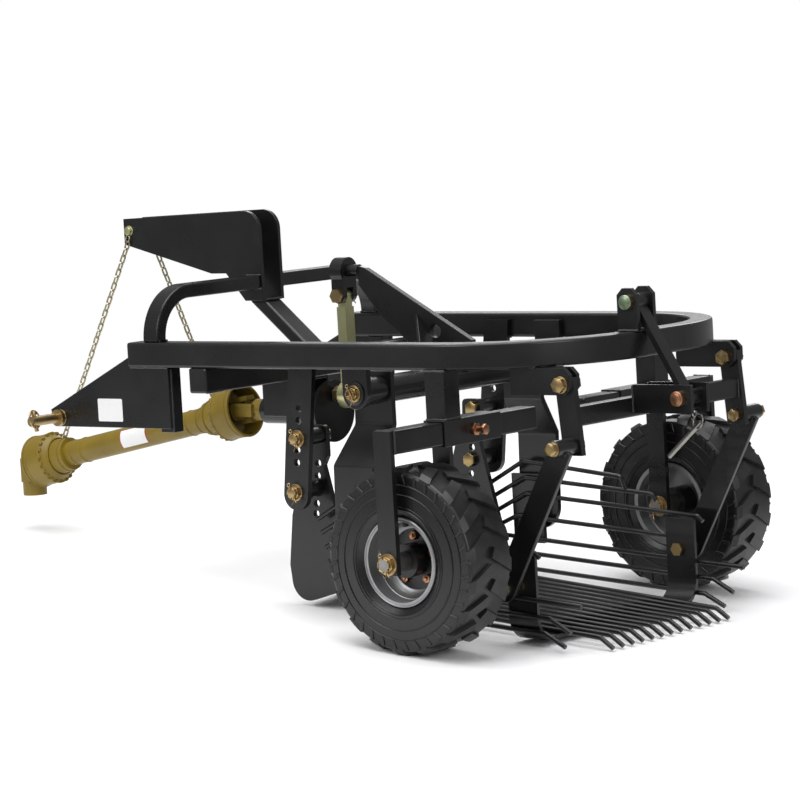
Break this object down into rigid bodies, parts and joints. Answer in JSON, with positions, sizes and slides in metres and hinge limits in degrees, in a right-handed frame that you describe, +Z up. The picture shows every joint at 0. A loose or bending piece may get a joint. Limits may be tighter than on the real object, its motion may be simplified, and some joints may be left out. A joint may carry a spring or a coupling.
{
  "type": "potato digger",
  "caption": "Tractor-mounted single-row potato digger with a fixed share, a shaken bar sieve, two wheels and a guarded drive shaft.",
  "frame": {"origin": "centre of the base of the bounding box, on the floor it is parked on", "axes": "+X forward to the tractor, +Y to the left, +Z up; the machine is parked nose-down on its wheels and share"},
  "size_m": [1.9582, 1.162, 0.7991],
  "materials": {
    "black_paint": "satin",
    "tyre_rubber": "matte",
    "wheel_silver": "satin",
    "guard_yellow": "satin",
    "yellow_zinc": "satin",
    "zinc": "satin",
    "bare_steel": "satin"
  },
  "bodies": {
    "frame": {"bearing_tube": "black_paint", "drive_bracket": "black_paint", "front_cross_tube": "black_paint", "guard_chains": "zinc", "guard_front": "guard_yellow", "guard_rear": "guard_yellow", "guard_tube": "guard_yellow", "hangers": "black_paint", "hitch_pins": "yellow_zinc", "hitch_plates": "black_paint", "mast_arches": "black_paint", "mast_brace": "black_paint", "mast_plates": "black_paint", "rear_arms": "black_paint", "rear_bolts": "yellow_zinc", "rear_brackets": "black_paint", "rear_clevis": "black_paint", "rear_cross_bar": "black_paint", "rocker_pins": "yellow_zinc", "share_blade": "black_paint", "share_bolts": "yellow_zinc", "share_sides": "black_paint", "share_straps": "black_paint", "tie_pins": "yellow_zinc", "tie_rod": "black_paint", "top_bracket": "black_paint", "u_rail": "black_paint", "wheel_arms": "black_paint", "wheel_axles": "bare_steel", "wheel_beams": "black_paint", "wheel_sleeves": "black_paint"},
    "connecting_rod": {"connecting_rod": "yellow_zinc", "crank_pin": "yellow_zinc"},
    "crank": {"crank_disc": "black_paint", "input_shaft": "bare_steel", "input_yoke": "yellow_zinc"},
    "drive_shaft": {"drive_tube": "bare_steel", "shaft_yokes": "yellow_zinc"},
    "rod_knuckle": {"fork_bolt": "yellow_zinc", "rod_knuckle": "black_paint"},
    "wheel_left": {"hub_left": "black_paint", "rim_left": "wheel_silver", "tyre_left": "tyre_rubber"},
    "wheel_right": {"hub_right": "black_paint", "rim_right": "wheel_silver", "tyre_right": "tyre_rubber"},
    "rocker": {"lever_gussets": "black_paint", "rock_tube": "black_paint", "rocker_arms": "black_paint", "rocker_lever": "black_paint", "sieve_front_bolts": "yellow_zinc"},
    "rear_link_left": {"rear_link_left": "black_paint"},
    "rear_link_right": {"rear_link_right": "black_paint"},
    "sieve": {"sieve_cheeks": "black_paint", "sieve_floor": "black_paint", "sieve_hoop": "black_paint", "sieve_rear_bolts": "yellow_zinc", "sieve_side_bars": "black_paint"},
    "tractor_yoke": {"tractor_yoke": "yellow_zinc"}
  },
  "joints": [
    {"name": "wheel_left_spin", "type": "hinge", "parent": "frame", "child": "wheel_left", "pos_m": [-0.57976, 0.466, 0.19], "axis": [0, 1, 0], "continuous": true},
    {"name": "wheel_right_spin", "type": "hinge", "parent": "frame", "child": "wheel_right", "pos_m": [-0.57976, -0.466, 0.19], "axis": [0, 1, 0], "continuous": true},
    {"name": "crank_turn", "type": "hinge", "parent": "frame", "child": "crank", "pos_m": [0.28807, 0, 0.35131], "axis": [0.996, 0, -0.0891], "continuous": true},
    {"name": "drive_shaft_turn", "type": "hinge", "parent": "frame", "child": "drive_shaft", "pos_m": [0.28807, 0, 0.35131], "axis": [0.9588, 0, -0.2842], "continuous": true},
    {"name": "tractor_yoke_swing", "type": "hinge", "parent": "drive_shaft", "child": "tractor_yoke", "pos_m": [0.9544, 0, 0.15377], "axis": [0, 1, 0], "range_deg": [-30, 0]},
    {"name": "rocker_swing", "type": "hinge", "parent": "frame", "child": "rocker", "pos_m": [-0.3026, 0, 0.48246], "axis": [0, 1, 0], "range_deg": [0, 14.3]},
    {"name": "knuckle_sway", "type": "hinge", "parent": "rocker", "child": "rod_knuckle", "pos_m": [0.0158, 0, 0.6859], "axis": [0.996, 0, -0.0891], "range_deg": [-9.5, 9.5]},
    {"name": "rod_swing", "type": "hinge", "parent": "rod_knuckle", "child": "connecting_rod", "pos_m": [0.01099, 0, 0.63212], "axis": [0, 1, 0], "range_deg": [-5.2, 0]},
    {"name": "sieve_swing", "type": "hinge", "parent": "rocker", "child": "sieve", "pos_m": [-0.2959, 0, 0.1646], "axis": [0, 1, 0], "range_deg": [-18.8, 0]},
    {"name": "rear_link_left_swing", "type": "hinge", "parent": "frame", "child": "rear_link_left", "pos_m": [-0.8307, 0.327, 0.4263], "axis": [0, 1, 0], "range_deg": [0, 13.6]},
    {"name": "rear_link_right_swing", "type": "hinge", "parent": "frame", "child": "rear_link_right", "pos_m": [-0.8307, -0.327, 0.4263], "axis": [0, 1, 0], "range_deg": [0, 13.6]}
  ],
  "couplings": [
    {"joint": "drive_shaft_turn", "follows": "crank_turn", "ratio": 1},
    {"joint": "rod_swing", "follows": "rocker_swing", "ratio": -0.357},
    {"joint": "sieve_swing", "follows": "rocker_swing", "ratio": -1.312},
    {"joint": "rear_link_left_swing", "follows": "rocker_swing", "ratio": 0.948},
    {"joint": "rear_link_right_swing", "follows": "rocker_swing", "ratio": 0.948}
  ]
}
